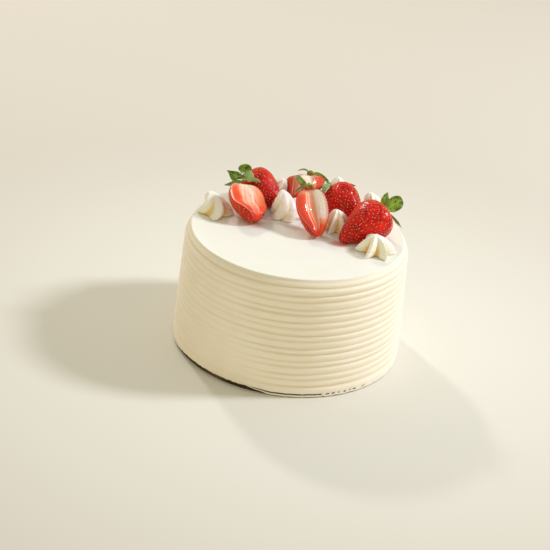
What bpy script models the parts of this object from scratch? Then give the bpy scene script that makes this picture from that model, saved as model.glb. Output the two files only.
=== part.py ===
"""Round strawberry cake: combed cream sides, a smooth flat top, a crescent of piped
rosettes and fresh strawberries, whole and halved, along the back of the top.

Units are metres, +Z is up and the origin is at the middle of the underside.
"""
import math

import bmesh
import bpy
import numpy as np
from mathutils import Vector

# Driving dimensions of the cake
BASE_RADIUS = 0.087
SHOULDER_RADIUS = 0.0839
RIM_RADIUS = 0.0797
CAKE_HEIGHT = 0.093
SHOULDER_DROP = 0.0087
GAP = 0.0003

# The dark sponge that shows under the lower edge of the cream
SPONGE_RADIUS = 0.0852
SPONGE_HEIGHT = 0.0040
SPONGE_ROUGHNESS = 0.0003

# The lower edge of the cream: its usual height, its height at the front left where it stops
# short, and the angles in degrees between which it climbs and drops again
HEM_LOW = 0.0005
HEM_HIGH = 0.0036
HEM_CLIMB = (188.0, 222.0)
HEM_DROP = (252.0, 268.0)

# The comb's ridges round the side: grooves lie a pitch apart, every other one a little low
RIDGE_COUNT = 15
RIDGE_PITCH = 0.00517
RIDGE_UNEVEN = 0.0004
RIDGE_DEPTH = 0.0011
RIDGE_SWAY = 0.0005
RIDGE_CREST = 0.74
LOWEST_GROOVE = 0.0096
AROUND_CAKE = 60

# Piped rosettes
ROSETTE_STEPS_PER_FOLD = 5
ROSETTE_ROWS = 8
PRESS_GAP = 0.0006

# Strawberries
BERRY_AROUND = 20
BERRY_ROWS = 13
DIMPLE_DEPTH = 0.0005
HALF_ARC_STEPS = 9
HALF_FACE_STEPS = 6
HALF_ROWS = 11
# Shares of the length, from the crown, between which the skin wraps round onto the cut face
WRAP_ALONG = (0.45, 0.95)

# Leaves
LEAF_THICKNESS = 0.0006
LEAF_STATIONS = 4
LEAF_FOLD = 0.2
HUB_RADIUS = 0.0026
HUB_SPREAD = 0.6
STEM_RADIUS = 0.0011
STEM_LENGTH = 0.0020

TOP = CAKE_HEIGHT


def on_top(x, y, height):
    """A point given by its place on the top and its height above it, all in metres."""
    return np.array([x, y, TOP + height])


# Each rosette: middle on the top, radius, height, number of folds, their depth, how sharp
# their ridges are (0 round, 1 sharp), their turn from seat to peak, the lean of the peak, and
# the berries that are pressed into it
ROSETTES = {
    "rosette_left": dict(middle=(-0.0635, 0.0125), radius=0.0162, height=0.0150, folds=4, depth=0.45,
                         sharp=0.8, turn=1.3, lean=(-0.0050, 0.0060),
                         pressed_by=["half_berry_front_left"]),
    "rosette_inner_left": dict(middle=(-0.0108, 0.0215), radius=0.0136, height=0.0200, folds=5,
                               depth=0.30, sharp=0.0, turn=1.5, lean=(-0.0040, 0.0045),
                               pressed_by=["half_berry_front", "berry_back_left", "half_berry_back_left"]),
    "rosette_inner_right": dict(middle=(0.0285, 0.0090), radius=0.0136, height=0.0175, folds=6,
                                depth=0.50, sharp=0.85, turn=0.3, lean=(-0.0015, -0.0020),
                                pressed_by=["half_berry_front", "berry_back_right", "berry_front_right"]),
    "rosette_front_right": dict(middle=(0.0582, -0.0225), radius=0.0176, height=0.0145, folds=6,
                                depth=0.56, sharp=0.85, turn=0.35, lean=(-0.0015, 0.0000),
                                pressed_by=["berry_front_right"]),
    "rosette_right": dict(middle=(0.0560, 0.0450), radius=0.0130, height=0.0180, folds=6, depth=0.36,
                          sharp=0.5, turn=0.8, lean=(-0.0040, 0.0000), pressed_by=["berry_back_right"]),
    "rosette_back_right": dict(middle=(0.0285, 0.0665), radius=0.0125, height=0.0185, folds=6,
                               depth=0.36, sharp=0.5, turn=1.0, lean=(-0.0020, 0.0000),
                               pressed_by=["berry_back_right"]),
    "rosette_back_middle": dict(middle=(0.0030, 0.0700), radius=0.0110, height=0.0115, folds=6,
                                depth=0.36, sharp=0.5, turn=0.5, lean=(0.0000, 0.0000),
                                pressed_by=["half_berry_back_left"]),
    "rosette_under_half": dict(middle=(0.0080, 0.0410), radius=0.0105, height=0.0125, folds=6,
                               depth=0.30, sharp=0.0, turn=0.5, lean=(0.0000, 0.0000),
                               pressed_by=["half_berry_back_left", "half_berry_back_right"]),
    "rosette_back": dict(middle=(-0.0195, 0.0605), radius=0.0120, height=0.0150, folds=6, depth=0.36,
                         sharp=0.5, turn=0.6, lean=(0.0040, -0.0020),
                         pressed_by=["half_berry_back_left", "berry_back_left"]),
    "rosette_back_left": dict(middle=(-0.0410, 0.0635), radius=0.0105, height=0.0120, folds=6,
                              depth=0.36, sharp=0.5, turn=0.9, lean=(0.0000, 0.0000),
                              pressed_by=["berry_back_left"]),
}

# Each whole berry: tip, crown (where the leaves sit), greatest radius and taper to the tip
WHOLE_BERRIES = {
    "berry_back_left": dict(tip=on_top(-0.0180, 0.0332, 0.0055), crown=on_top(-0.0447, 0.0500, 0.0170),
                            radius=0.0142, taper=0.32),
    "berry_back_right": dict(tip=on_top(0.0413, 0.0200, 0.0088), crown=on_top(0.0223, 0.0430, 0.0170),
                             radius=0.0139, taper=0.20),
    "berry_front_right": dict(tip=on_top(0.0311, -0.0152, 0.0030), crown=on_top(0.0645, 0.0115, 0.0180),
                              radius=0.0158, taper=0.55),
}

# Each halved berry: tip, crown, the way its cut face looks, radius, taper, depth of the skin
# side, depth of the hollow core, the angle by which the two sides of the face fold in, and
# the angle by which the skin wraps round onto the face at the tip
HALVED_BERRIES = {
    "half_berry_front_left": dict(tip=on_top(-0.0328, -0.0012, 0.0035), crown=on_top(-0.0446, 0.0254, 0.0230),
                                  facing=(0.56, -0.45, 0.74), radius=0.0158, taper=0.26, depth=0.80,
                                  hollow=0.0008, fold=0.0, wrap=48.0),
    "half_berry_front": dict(tip=on_top(0.0150, -0.0125, 0.0025), crown=on_top(0.0045, 0.0135, 0.0305),
                             facing=(0.15, -0.75, 0.60), radius=0.0122, taper=0.22, depth=0.85,
                             hollow=0.0022, fold=14.0, wrap=45.0),
    "half_berry_back_left": dict(tip=on_top(-0.0064, 0.0470, 0.0048), crown=on_top(-0.0064, 0.0620, 0.0190),
                                 facing=(-0.60, -0.65, 0.45), radius=0.0100, taper=0.25, depth=0.60,
                                 hollow=0.0015, fold=5.0, wrap=15.0),
    "half_berry_back_right": dict(tip=on_top(0.0078, 0.0300, 0.0205), crown=on_top(0.0044, 0.0525, 0.0242),
                                  facing=(0.05, -0.35, 0.95), radius=0.0104, taper=0.25, depth=0.70,
                                  hollow=0.0015, fold=5.0, wrap=15.0),
}


def leaf(tip, width, over=None, face=None, point=0.7):
    """A leaf by its tip and width; over is a point it arches through, face the way it looks.

    Its end is rounder for a small value of point, sharper for a large one."""
    return dict(tip=tip, width=width, over=over, face=face, point=point)


# Each calyx: the berry that carries it and its leaves
CALYXES = {
    "leaves_back_left": dict(berry="berry_back_left", leaves=[
        leaf(on_top(-0.0599, 0.0490, 0.0206), 0.0066, face=(-0.2, -0.6, 0.8), point=0.80),
        leaf(on_top(-0.0515, 0.0550, 0.0214), 0.0092, face=(0.0, -0.7, 0.7), point=0.45),
        leaf(on_top(-0.0428, 0.0560, 0.0240), 0.0052, face=(0.1, -0.8, 0.6)),
    ]),
    "leaves_front_left": dict(berry="half_berry_front_left", leaves=[
        leaf(on_top(-0.0600, 0.0325, 0.0152), 0.0054, face=(0.0, -0.4, 0.9)),
        leaf(on_top(-0.0572, 0.0360, 0.0236), 0.0030, face=(-0.3, -0.6, 0.7)),
        leaf(on_top(-0.0420, 0.0310, 0.0304), 0.0084, face=(-0.1, 0.8, -0.5), point=0.5),
        leaf(on_top(-0.0316, 0.0250, 0.0240), 0.0034, face=(0.2, 0.6, -0.6)),
    ]),
    "leaves_back_right": dict(berry="berry_back_right", leaves=[
        leaf(on_top(0.0150, 0.0245, 0.0190), 0.0058, over=on_top(0.0175, 0.0320, 0.0325),
             face=(0.3, 0.8, -0.4), point=0.6),
        leaf(on_top(0.0405, 0.0480, 0.0205), 0.0055),
        leaf(on_top(0.0160, 0.0520, 0.0100), 0.0055),
    ]),
    "leaves_front_right": dict(berry="berry_front_right", leaves=[
        leaf(on_top(0.0640, 0.0250, 0.0284), 0.0068, face=(-0.1, -0.9, 0.4), point=0.9),
        leaf(on_top(0.0755, 0.0215, 0.0250), 0.0112, over=on_top(0.0710, 0.0190, 0.0235),
             face=(0.1, -0.85, 0.5), point=0.4),
        leaf(on_top(0.0767, 0.0045, 0.0098), 0.0046, over=on_top(0.0725, 0.0075, 0.0120), point=0.9),
    ]),
    "leaves_back_middle": dict(berry="half_berry_back_right", leaves=[
        leaf(on_top(-0.0056, 0.0500, 0.0262), 0.0016, over=on_top(-0.0010, 0.0510, 0.0296)),
        leaf(on_top(0.0198, 0.0550, 0.0184), 0.0054, face=(0.2, -0.7, 0.7), point=0.9),
    ]),
    "leaves_front": dict(berry="half_berry_front", leaves=[
        leaf(on_top(-0.0055, 0.0330, 0.0298), 0.0044, over=on_top(-0.0045, 0.0225, 0.0318),
             face=(-0.3, -0.75, 0.6), point=0.6),
        leaf(on_top(-0.0060, 0.0190, 0.0215), 0.0046),
        leaf(on_top(0.0070, 0.0205, 0.0245), 0.0040),
    ]),
}

MATERIALS = {
    "cream": ((0.93, 0.86, 0.70), 0.55),
    "rosette_cream": ((0.95, 0.90, 0.76), 0.45),
    "sponge": ((0.16, 0.07, 0.03), 0.85),
    "berry_skin": ((0.62, 0.02, 0.02), 0.22),
    "berry_flesh": ((0.86, 0.20, 0.10), 0.35),
    "leaf": ((0.10, 0.22, 0.03), 0.45),
}


def unit(vector):
    """The vector scaled to length one."""
    return vector / np.linalg.norm(vector)


def make_material(name):
    """A plain finish with the colour and roughness listed for it."""
    colour, roughness = MATERIALS[name]
    material = bpy.data.materials.new(name)
    material.use_nodes = True
    shader = material.node_tree.nodes["Principled BSDF"]
    shader.inputs["Base Color"].default_value = (*colour, 1.0)
    shader.inputs["Roughness"].default_value = roughness
    shader.inputs["Metallic"].default_value = 0.0
    return material


def add_solid(name, points, faces, material):
    """Put points and faces into the scene as one closed, outward, smooth solid."""
    mesh = bpy.data.meshes.new(name)
    mesh.from_pydata([tuple(point) for point in points], [], faces)
    work = bmesh.new()
    work.from_mesh(mesh)
    bmesh.ops.recalc_face_normals(work, faces=work.faces)
    work.to_mesh(mesh)
    work.free()
    mesh.materials.append(bpy.data.materials[material])
    solid = bpy.data.objects.new(name, mesh)
    bpy.context.collection.objects.link(solid)
    mesh.shade_smooth()
    return solid


def ring_faces(rows, around):
    """Faces of a closed form: point 0, then rows of points in rings, then a last point."""
    faces = []
    last = rows * around + 1
    for step in range(around):
        following = (step + 1) % around
        faces.append((0, 1 + following, 1 + step))
        for row in range(rows - 1):
            lower = 1 + row * around
            upper = lower + around
            faces.append((lower + step, lower + following, upper + following, upper + step))
        edge = 1 + (rows - 1) * around
        faces.append((edge + step, edge + following, last))
    return faces


def add_ringed(name, start, rings, end, material):
    """A closed form lofted through rings, with a single point at either end."""
    rows, around = rings.shape[:2]
    points = np.vstack([start[None], rings.reshape(-1, 3), end[None]])
    return add_solid(name, points, ring_faces(rows, around), material)


def seat_on_top(solid):
    """Cut away what would sink into the cake, leaving a flat seat just above it."""
    work = bmesh.new()
    work.from_mesh(solid.data)
    seat = Vector((0.0, 0.0, TOP + GAP))
    everything = work.verts[:] + work.edges[:] + work.faces[:]
    bmesh.ops.bisect_plane(work, geom=everything, dist=1e-6, plane_co=seat, plane_no=(0, 0, 1),
                           clear_inner=True)
    open_edges = [edge for edge in work.edges if edge.is_boundary]
    if open_edges:
        bmesh.ops.holes_fill(work, edges=open_edges, sides=0)
    bmesh.ops.recalc_face_normals(work, faces=work.faces)
    work.to_mesh(solid.data)
    work.free()


def smooth_step(value, start, end):
    """0 below start, 1 above end, with a smooth change between them."""
    share = np.clip((value - start) / (end - start), 0.0, 1.0)
    return share * share * (3.0 - 2.0 * share)


def side_radius(height):
    """The side leans in from the base to the shoulder, then rounds in to the rim of the top."""
    rise = np.clip(height / (CAKE_HEIGHT - SHOULDER_DROP), 0.0, 1.0)
    over = np.clip((height - CAKE_HEIGHT + SHOULDER_DROP) / SHOULDER_DROP, 0.0, 1.0)
    return (BASE_RADIUS - (BASE_RADIUS - SHOULDER_RADIUS) * rise**1.4
            - (SHOULDER_RADIUS - RIM_RADIUS) * over**1.5)


def make_sponge():
    """A low disc of dark sponge with a slightly uneven edge."""
    angles = np.linspace(0.0, 2.0 * math.pi, AROUND_CAKE, endpoint=False)
    edge = SPONGE_RADIUS + SPONGE_ROUGHNESS * (np.sin(9 * angles) + np.sin(14 * angles + 1.0)) / 2
    levels = ((0.0, 0.0), (0.5, 1.0), (1.0, 0.35))
    rings = []
    for share, bulge in levels:
        reach = edge + SPONGE_ROUGHNESS * bulge
        height = np.full_like(angles, SPONGE_HEIGHT * share)
        rings.append(np.stack([reach * np.cos(angles), reach * np.sin(angles), height], axis=1))
    start = np.zeros(3)
    end = np.array([0.0, 0.0, SPONGE_HEIGHT])
    add_ringed("sponge_foot", start, np.array(rings), end, "sponge")


def make_iced_cake():
    """The creamed cake: a hollow skirt over the sponge, combed side, rounded rim, flat top.

    Each ridge of the comb has a valley and a crest. Their heights sway round the cake and their
    depth changes from ridge to ridge, as a hand-held comb leaves them."""
    angles = np.linspace(0.0, 2.0 * math.pi, AROUND_CAKE, endpoint=False)
    around = np.stack([np.cos(angles), np.sin(angles)], axis=1)

    def ring(radius, height):
        radii = radius + np.zeros_like(angles)
        heights = height + np.zeros_like(angles)
        return np.column_stack([around * radii[:, None], heights])

    skirt_inside = SPONGE_RADIUS + 3 * SPONGE_ROUGHNESS + GAP
    ceiling = SPONGE_HEIGHT + GAP
    bearing = np.degrees(angles)
    bare = smooth_step(bearing, *HEM_CLIMB) * (1.0 - smooth_step(bearing, *HEM_DROP))
    hem = HEM_LOW + (HEM_HIGH - HEM_LOW) * bare
    rings = [ring(skirt_inside, ceiling),
             ring(skirt_inside, hem),
             ring(BASE_RADIUS - GAP, hem),
             ring(BASE_RADIUS, 0.5 * (ceiling + LOWEST_GROOVE))]

    for number in range(RIDGE_COUNT):
        sway = RIDGE_SWAY * (np.sin(angles) + 0.35 * np.sin(3 * angles + 1.7 * number))
        depth = RIDGE_DEPTH * (0.8 + 0.2 * math.cos(2.3 * number))
        uneven = RIDGE_UNEVEN * (-1) ** number
        groove = LOWEST_GROOVE + number * RIDGE_PITCH - uneven + sway
        crest = groove + RIDGE_CREST * (RIDGE_PITCH + 2 * uneven)
        rings.append(ring(side_radius(groove) - depth, groove))
        rings.append(ring(side_radius(crest), crest))

    highest = LOWEST_GROOVE + RIDGE_COUNT * RIDGE_PITCH + RIDGE_UNEVEN
    last_ridge = highest + 0.5 * (CAKE_HEIGHT - highest)
    rings.append(ring(side_radius(highest) - RIDGE_DEPTH, highest + RIDGE_SWAY * np.sin(angles)))
    rings.append(ring(side_radius(last_ridge), last_ridge))
    rings.append(ring(RIM_RADIUS + GAP, CAKE_HEIGHT - 3 * GAP))
    rings.append(ring(RIM_RADIUS - 3 * GAP, CAKE_HEIGHT))
    start = np.array([0.0, 0.0, ceiling])
    end = np.array([0.0, 0.0, CAKE_HEIGHT])
    add_ringed("iced_cake", start, np.array(rings), end, "cream")


def rosette_points(middle, radius, height, folds, depth, sharp, turn, lean, rows, around):
    """Rings of a star-piped rosette.

    Its outline swells just above the seat, then draws in to a fine peak. The section is a star
    whose ridges are round or sharp, the ridges turn as they rise, and the peak leans."""
    rise = np.linspace(0.0, 1.0, rows + 1)[:-1, None]
    angle = np.linspace(0.0, 2.0 * math.pi, around, endpoint=False)[None, :]
    swell = (1.0 - rise) ** 0.66 * (0.90 + 0.45 * rise)
    phase = 0.5 * folds * (angle - turn * rise)
    valley = (1.0 - sharp) * (1.0 - np.abs(np.cos(phase))) + sharp * np.abs(np.sin(phase))
    reach = radius * swell * (1.0 - depth * valley * (1.0 - 0.3 * rise))
    level = TOP + GAP + (height - GAP) * rise**1.15
    x = middle[0] + lean[0] * rise**2 + reach * np.cos(angle)
    y = middle[1] + lean[1] * rise**2 + reach * np.sin(angle)
    return np.stack([x, y, level + 0.0 * angle], axis=2)


def keep_largest(mesh):
    """Drop the loose scraps that a cut leaves."""
    work = bmesh.new()
    work.from_mesh(mesh)
    unseen = set(work.verts)
    islands = []
    while unseen:
        front = [unseen.pop()]
        island = set(front)
        while front:
            for edge in front.pop().link_edges:
                for vert in edge.verts:
                    if vert in unseen:
                        unseen.remove(vert)
                        island.add(vert)
                        front.append(vert)
        islands.append(island)
    largest = max(islands, key=len)
    scraps = [vert for vert in work.verts if vert not in largest]
    bmesh.ops.delete(work, geom=scraps, context="VERTS")
    work.to_mesh(mesh)
    work.free()


def press(cream, berry):
    """Leave in the cream the dent that a berry makes, a little wider than the berry.

    Where the berry meets the top of the cake, the dent goes right through the cream's seat."""
    cutter = berry.copy()
    cutter.data = berry.data.copy()
    bpy.context.collection.objects.link(cutter)
    moved = [vert.co + vert.normal * PRESS_GAP for vert in cutter.data.vertices]
    for vert, place in zip(cutter.data.vertices, moved):
        vert.co = place
    for vert in cutter.data.vertices:
        if vert.co.z < TOP + 2 * GAP:
            vert.co.z = TOP - PRESS_GAP
    dent = cream.modifiers.new("dent", "BOOLEAN")
    dent.operation = "DIFFERENCE"
    dent.object = cutter
    bpy.context.view_layer.update()
    evaluated = cream.evaluated_get(bpy.context.evaluated_depsgraph_get())
    dented = bpy.data.meshes.new_from_object(evaluated)
    cream.modifiers.remove(dent)
    keep_largest(dented)
    cream.data = dented
    bpy.data.objects.remove(cutter, do_unlink=True)


def make_rosette(name, pressed_by, **form):
    """One rosette, seated flat on the top and dented by the berries pressed into it."""
    middle = np.array([*form["middle"], TOP + GAP])
    lean = np.array([*form["lean"], form["height"] - GAP])
    rings = rosette_points(**form, rows=ROSETTE_ROWS, around=form["folds"] * ROSETTE_STEPS_PER_FOLD)
    rosette = add_ringed(name, middle, rings, middle + lean, "rosette_cream")
    for berry in pressed_by:
        press(rosette, bpy.data.objects[berry])


def berry_axes(tip, crown, facing):
    """Across, facing and lengthwise directions of a berry, lengthwise from tip to crown."""
    lengthwise = unit(crown - tip)
    towards = np.asarray(facing, dtype=float)
    towards = unit(towards - towards.dot(lengthwise) * lengthwise)
    return np.cross(towards, lengthwise), towards, lengthwise


def berry_outline(turn, taper):
    """Share of the greatest radius, and of the length from the crown, at a turn of 0 to pi.

    The outline is a circle drawn out into a blunt cone, with a shallow dip at the crown."""
    sweep = np.linspace(0.0, math.pi, 200)
    widest = np.max(np.sin(sweep) ** 0.86 * (1.0 + taper * np.cos(sweep)))
    reach = np.sin(turn) ** 0.86 * (1.0 + taper * np.cos(turn)) / widest
    along = 0.5 * (1.0 - np.cos(turn)) + 0.07 * np.exp(-((turn / 0.42) ** 2))
    return reach, along


def make_whole_berry(name, tip, crown, radius, taper):
    """A whole berry, its skin dimpled where its seeds sit, in staggered rows."""
    across, towards, lengthwise = berry_axes(tip, crown, (0.0, -0.6, 0.8))
    length = np.linalg.norm(crown - tip)
    turn = np.linspace(0.0, math.pi, BERRY_ROWS + 2)
    angle = np.linspace(0.0, 2.0 * math.pi, BERRY_AROUND, endpoint=False)
    reach, along = berry_outline(turn, taper)
    row_number, step_number = np.meshgrid(np.arange(BERRY_ROWS), np.arange(BERRY_AROUND), indexing="ij")
    dimple = np.where((row_number + step_number) % 2 == 0, DIMPLE_DEPTH, 0.0)
    lumpy = 1.0 + 0.03 * np.cos(2 * angle + 0.6) + 0.015 * np.cos(3 * angle)
    radii = radius * reach[1:-1, None] * lumpy[None, :] - dimple * reach[1:-1, None]
    centre = crown[None, :] - np.outer(along[1:-1] * length, lengthwise)
    rings = (centre[:, None, :] + radii[..., None] * np.cos(angle)[None, :, None] * across
             + radii[..., None] * np.sin(angle)[None, :, None] * towards)
    start = crown - along[0] * length * lengthwise
    solid = add_ringed(name, start, rings, np.array(tip), "berry_skin")
    seat_on_top(solid)


def make_half_berry(name, tip, crown, facing, radius, taper, depth, hollow, fold, wrap):
    """A berry cut lengthwise.

    Each ring runs round the skin from one edge of the cut to the other, then back across the
    cut face, which folds in along its middle and dips again at the hollow core. Towards the
    tip the skin wraps round onto the face, so the face narrows and the tip is whole."""
    across, towards, lengthwise = berry_axes(tip, crown, facing)
    length = np.linalg.norm(crown - tip)
    turn = np.linspace(0.0, math.pi, HALF_ROWS + 2)
    reach, along = berry_outline(turn, taper)
    share = np.linspace(-1.0, 1.0, HALF_FACE_STEPS + 1)[1:-1]
    slope = math.tan(math.radians(fold))
    wrapped = math.radians(wrap) * smooth_step(along, *WRAP_ALONG)
    rings = []
    for row in range(1, HALF_ROWS + 1):
        arc = np.linspace(-wrapped[row], math.pi + wrapped[row], HALF_ARC_STEPS)
        half_width = radius * reach[row]
        centre = crown - along[row] * length * lengthwise
        skin = (centre + half_width * np.cos(arc)[:, None] * across
                - half_width * depth * np.sin(arc)[:, None] * towards)
        cut_width = half_width * math.cos(wrapped[row])
        dip = hollow * np.exp(-((share / 0.3) ** 2)) * math.sin(turn[row]) ** 2
        raised = half_width * depth * math.sin(wrapped[row])
        sink = slope * cut_width * (1.0 - np.abs(share)) + dip - raised
        face = centre + cut_width * share[:, None] * across - sink[:, None] * towards
        rings.append(np.vstack([skin, face]))
    start = crown - along[0] * length * lengthwise
    solid = add_ringed(name, start, np.array(rings), np.array(tip), "berry_flesh")
    seat_on_top(solid)


def leaf_sections(root, outward, axis, shape):
    """Left edge, midrib and right edge of a leaf at each station, and its upward directions.

    The midrib is a smooth arch from the root to the tip. The width swells, then narrows to the
    tip, and both sides rise from the midrib."""
    reach = np.linalg.norm(shape["tip"] - root)
    bend = shape["over"]
    if bend is None:
        bend = root + 0.45 * reach * unit(outward + 0.25 * axis)
    face = axis if shape["face"] is None else unit(np.array(shape["face"]))
    travel = np.arange(LEAF_STATIONS)[:, None] / LEAF_STATIONS
    middle = (1 - travel) ** 2 * root + 2 * travel * (1 - travel) * bend + travel**2 * shape["tip"]
    heading = (1 - travel) * (bend - root) + travel * (shape["tip"] - bend)
    sideways = np.cross(heading, face)
    sideways = sideways / np.linalg.norm(sideways, axis=1)[:, None]
    upward = np.cross(sideways, heading)
    upward = upward / np.linalg.norm(upward, axis=1)[:, None]
    half_width = 0.5 * shape["width"] * np.sin(math.pi * (0.12 + 0.88 * travel)) ** shape["point"]
    raised = LEAF_FOLD * half_width * upward
    left = middle - half_width * sideways + raised
    right = middle + half_width * sideways + raised
    return left, middle, right, upward


def make_calyx(name, berry, leaves):
    """The green top of a berry: a small hub with a stub of stem and a ring of leaves.

    The upper and lower skins share the same layout, so both split into triangles alike."""
    axis = unit(berry["crown"] - berry["tip"])
    centre = berry["crown"] + (2 * GAP + 0.5 * LEAF_THICKNESS) * axis
    side = unit(np.cross(axis, (0.0, 0.0, 1.0)))
    upright = np.cross(axis, side)

    def bearing(shape):
        """Angle round the axis at which a leaf sets out."""
        aim = shape["tip"] if shape["over"] is None else shape["over"]
        offset = aim - centre
        return math.atan2(offset.dot(upright), offset.dot(side)) % (2.0 * math.pi)

    ordered = sorted(leaves, key=bearing)
    angles = [bearing(shape) for shape in ordered]
    spaces = [(after - before) % (2.0 * math.pi) for before, after in zip(angles, angles[1:] + angles[:1])]
    spread = min(0.42 * min(spaces), HUB_SPREAD)

    points = []
    faces = []

    def place(position):
        """Add a point and give its number."""
        points.append(position)
        return len(points) - 1

    half = 0.5 * LEAF_THICKNESS
    upper_ring = []
    lower_ring = []
    for angle, shape in zip(angles, ordered):
        outward, before, after = (math.cos(turn) * side + math.sin(turn) * upright
                                  for turn in (angle, angle - spread, angle + spread))
        root = centre + HUB_RADIUS * outward
        left, middle, right, upward = leaf_sections(root, outward, axis, shape)
        if upward[1].dot(axis) > 0.0:
            left, right = right, left
        else:
            upward = -upward
        left[0] = centre + HUB_RADIUS * before
        right[0] = centre + HUB_RADIUS * after
        upward[0] = axis
        stations = list(zip(left, middle, right, upward))
        upper = [[place(point + half * up) for point in edge] for *edge, up in stations]
        lower = [[place(point - half * up) for point in edge] for *edge, up in stations]
        end = place(shape["tip"])
        for rows in (upper, lower):
            for here, there in zip(rows, rows[1:]):
                for j in (0, 1):
                    faces.append((here[j], here[j + 1], there[j + 1]))
                    faces.append((here[j], there[j + 1], there[j]))
            for j in (0, 1):
                faces.append((rows[-1][j], rows[-1][j + 1], end))
        for j in (0, 2):
            for k in range(LEAF_STATIONS - 1):
                faces.append((upper[k][j], upper[k + 1][j], lower[k + 1][j], lower[k][j]))
            faces.append((upper[-1][j], end, lower[-1][j]))
        upper_ring.extend(upper[0])
        lower_ring.extend(lower[0])

    count = len(upper_ring)
    around = [unit(points[k] - centre - (points[k] - centre).dot(axis) * axis) for k in upper_ring]
    stem_foot = [place(centre + STEM_RADIUS * out + LEAF_THICKNESS * axis) for out in around]
    stem_end = [place(centre + STEM_RADIUS * out + STEM_LENGTH * axis) for out in around]
    stem_top = place(centre + (STEM_LENGTH + GAP) * axis)
    below = place(centre - half * axis)
    for k in range(count):
        after = (k + 1) % count
        faces.append((upper_ring[k], upper_ring[after], stem_foot[after], stem_foot[k]))
        faces.append((stem_foot[k], stem_foot[after], stem_end[after], stem_end[k]))
        faces.append((stem_end[k], stem_end[after], stem_top))
        faces.append((lower_ring[after], lower_ring[k], below))
        if k % 3 == 2:
            faces.append((upper_ring[k], upper_ring[after], lower_ring[after], lower_ring[k]))
    add_solid(name, points, faces, "leaf")


def build():
    """Clear the scene and make every piece."""
    for leftover in list(bpy.data.objects):
        bpy.data.objects.remove(leftover, do_unlink=True)
    for name in MATERIALS:
        make_material(name)
    make_sponge()
    make_iced_cake()
    for name, shape in WHOLE_BERRIES.items():
        make_whole_berry(name, **shape)
    for name, shape in HALVED_BERRIES.items():
        make_half_berry(name, **shape)
    for name, shape in ROSETTES.items():
        make_rosette(name, **shape)
    berries = {**WHOLE_BERRIES, **HALVED_BERRIES}
    for name, shape in CALYXES.items():
        make_calyx(name, berries[shape["berry"]], shape["leaves"])


build()
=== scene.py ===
"""Looks of the strawberry cake: cream with a combed side, piped rosettes, strawberries whole
and halved with their seeds and leaves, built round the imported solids.

Lengths are metres, +Z is up. Every piece is a surface worked out on a grid of two parameters,
and its place is in its mesh.
"""

import math

import bpy
import numpy as np
from mathutils import Matrix


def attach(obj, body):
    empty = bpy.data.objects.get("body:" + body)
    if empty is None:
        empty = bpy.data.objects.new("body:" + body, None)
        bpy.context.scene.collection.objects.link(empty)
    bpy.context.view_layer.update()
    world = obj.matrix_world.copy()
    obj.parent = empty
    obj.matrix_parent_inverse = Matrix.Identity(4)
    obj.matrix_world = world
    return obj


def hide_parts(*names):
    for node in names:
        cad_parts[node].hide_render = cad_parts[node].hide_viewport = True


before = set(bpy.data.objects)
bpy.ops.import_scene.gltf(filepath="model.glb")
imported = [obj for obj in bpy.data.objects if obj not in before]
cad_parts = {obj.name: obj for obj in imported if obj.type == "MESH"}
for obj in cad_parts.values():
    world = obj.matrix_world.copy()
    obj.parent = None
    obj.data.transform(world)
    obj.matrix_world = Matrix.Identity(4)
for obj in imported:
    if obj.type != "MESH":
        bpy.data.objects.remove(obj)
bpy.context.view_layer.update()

# The cake, as its solids have it
BASE_RADIUS = 0.0870
SHOULDER_RADIUS = 0.0839
RIM_RADIUS = 0.0797
TOP = 0.093
SHOULDER_DROP = 0.0087
GAP = 0.0003
SEAT = TOP + GAP
SPONGE_RADIUS = 0.0852
SPONGE_HEIGHT = 0.0040
SPONGE_ROUGHNESS = 0.0003

# The lower edge of the cream: its usual height, its height at the front left where it stops
# short, the angles in degrees between which it climbs and drops again, how ragged it is, and
# how round its corner
HEM_LOW = 0.0005
HEM_HIGH = 0.0036
HEM_CLIMB = (188.0, 222.0)
HEM_DROP = (252.0, 268.0)
HEM_RAGGED = 0.00018
HEM_LIMITS = (0.0002, HEM_HIGH + 0.0003)
HEM_ROUND = 0.0004

# The seam above the foot where crumb shows through: the height of the foot's band, the depth
# of the seam, its mark for the finish, the shares of the band between which it deepens and
# closes, and the angles in degrees between which it opens, tears into dashes and ends
FOOT_TOP = 0.0054
SEAM_DEPTH = 0.0003
SEAM_MARK = 2.6
SEAM_BAND = ((0.29, 0.0), (0.33, 1.0), (0.53, 1.0), (0.57, 0.0))
SEAM_START = (250.0, 262.0)
SEAM_TEARS = (272.0, 300.0)
SEAM_END = (300.0, 335.0)

# The comb's ridges round the side: within each, the last point of the bulge, the crest and the
# shelf are shares of the pitch
RIDGE_COUNT = 15
RIDGE_PITCH = 0.00517
RIDGE_UNEVEN = 0.0004
RIDGE_DEPTH = 0.0011
RIDGE_SWAY = 0.0005
LOWEST_GROOVE = 0.0096
BULGE_SHARE = 0.72
CREST_SHARE = 0.74
SHELF_SHARE = 0.90
# Angles in degrees between which the ridges grow faint and full again, at the left
WORN_START = (150.0, 200.0)
WORN_END = (238.0, 262.0)
# Middle and reach of a patch where they are nearly smoothed away, in degrees and in ridges
SMOOTHED_ROUND = (236.0, 22.0)
SMOOTHED_UP = (1.5, 4.5)

# Rows from the last ridge to the rim: rise, how far in, share of the sway and valley, which sets painted
# shade under the rim
SHOULDER_ROWS = ((0.0, RIDGE_DEPTH, 1.0, 1.0), (0.0006, 0.0006, 1.0, 0.6), (0.0018, 0.0001, 1.0, 0.0),
                 (0.0028, 0.0, 0.6, 0.0), (0.0036, 0.0006, 0.3, 0.5))
# Rows of the rim: how far out, height against the top and valley, which sets painted shade; and the
# middle's height
RIM_ROWS = ((0.0003, -0.00090, 0.3), (0.0002, -0.00025, 0.0), (-0.0001, -0.00005, 0.0))
LEVEL_TOP = TOP - 0.00012

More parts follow.
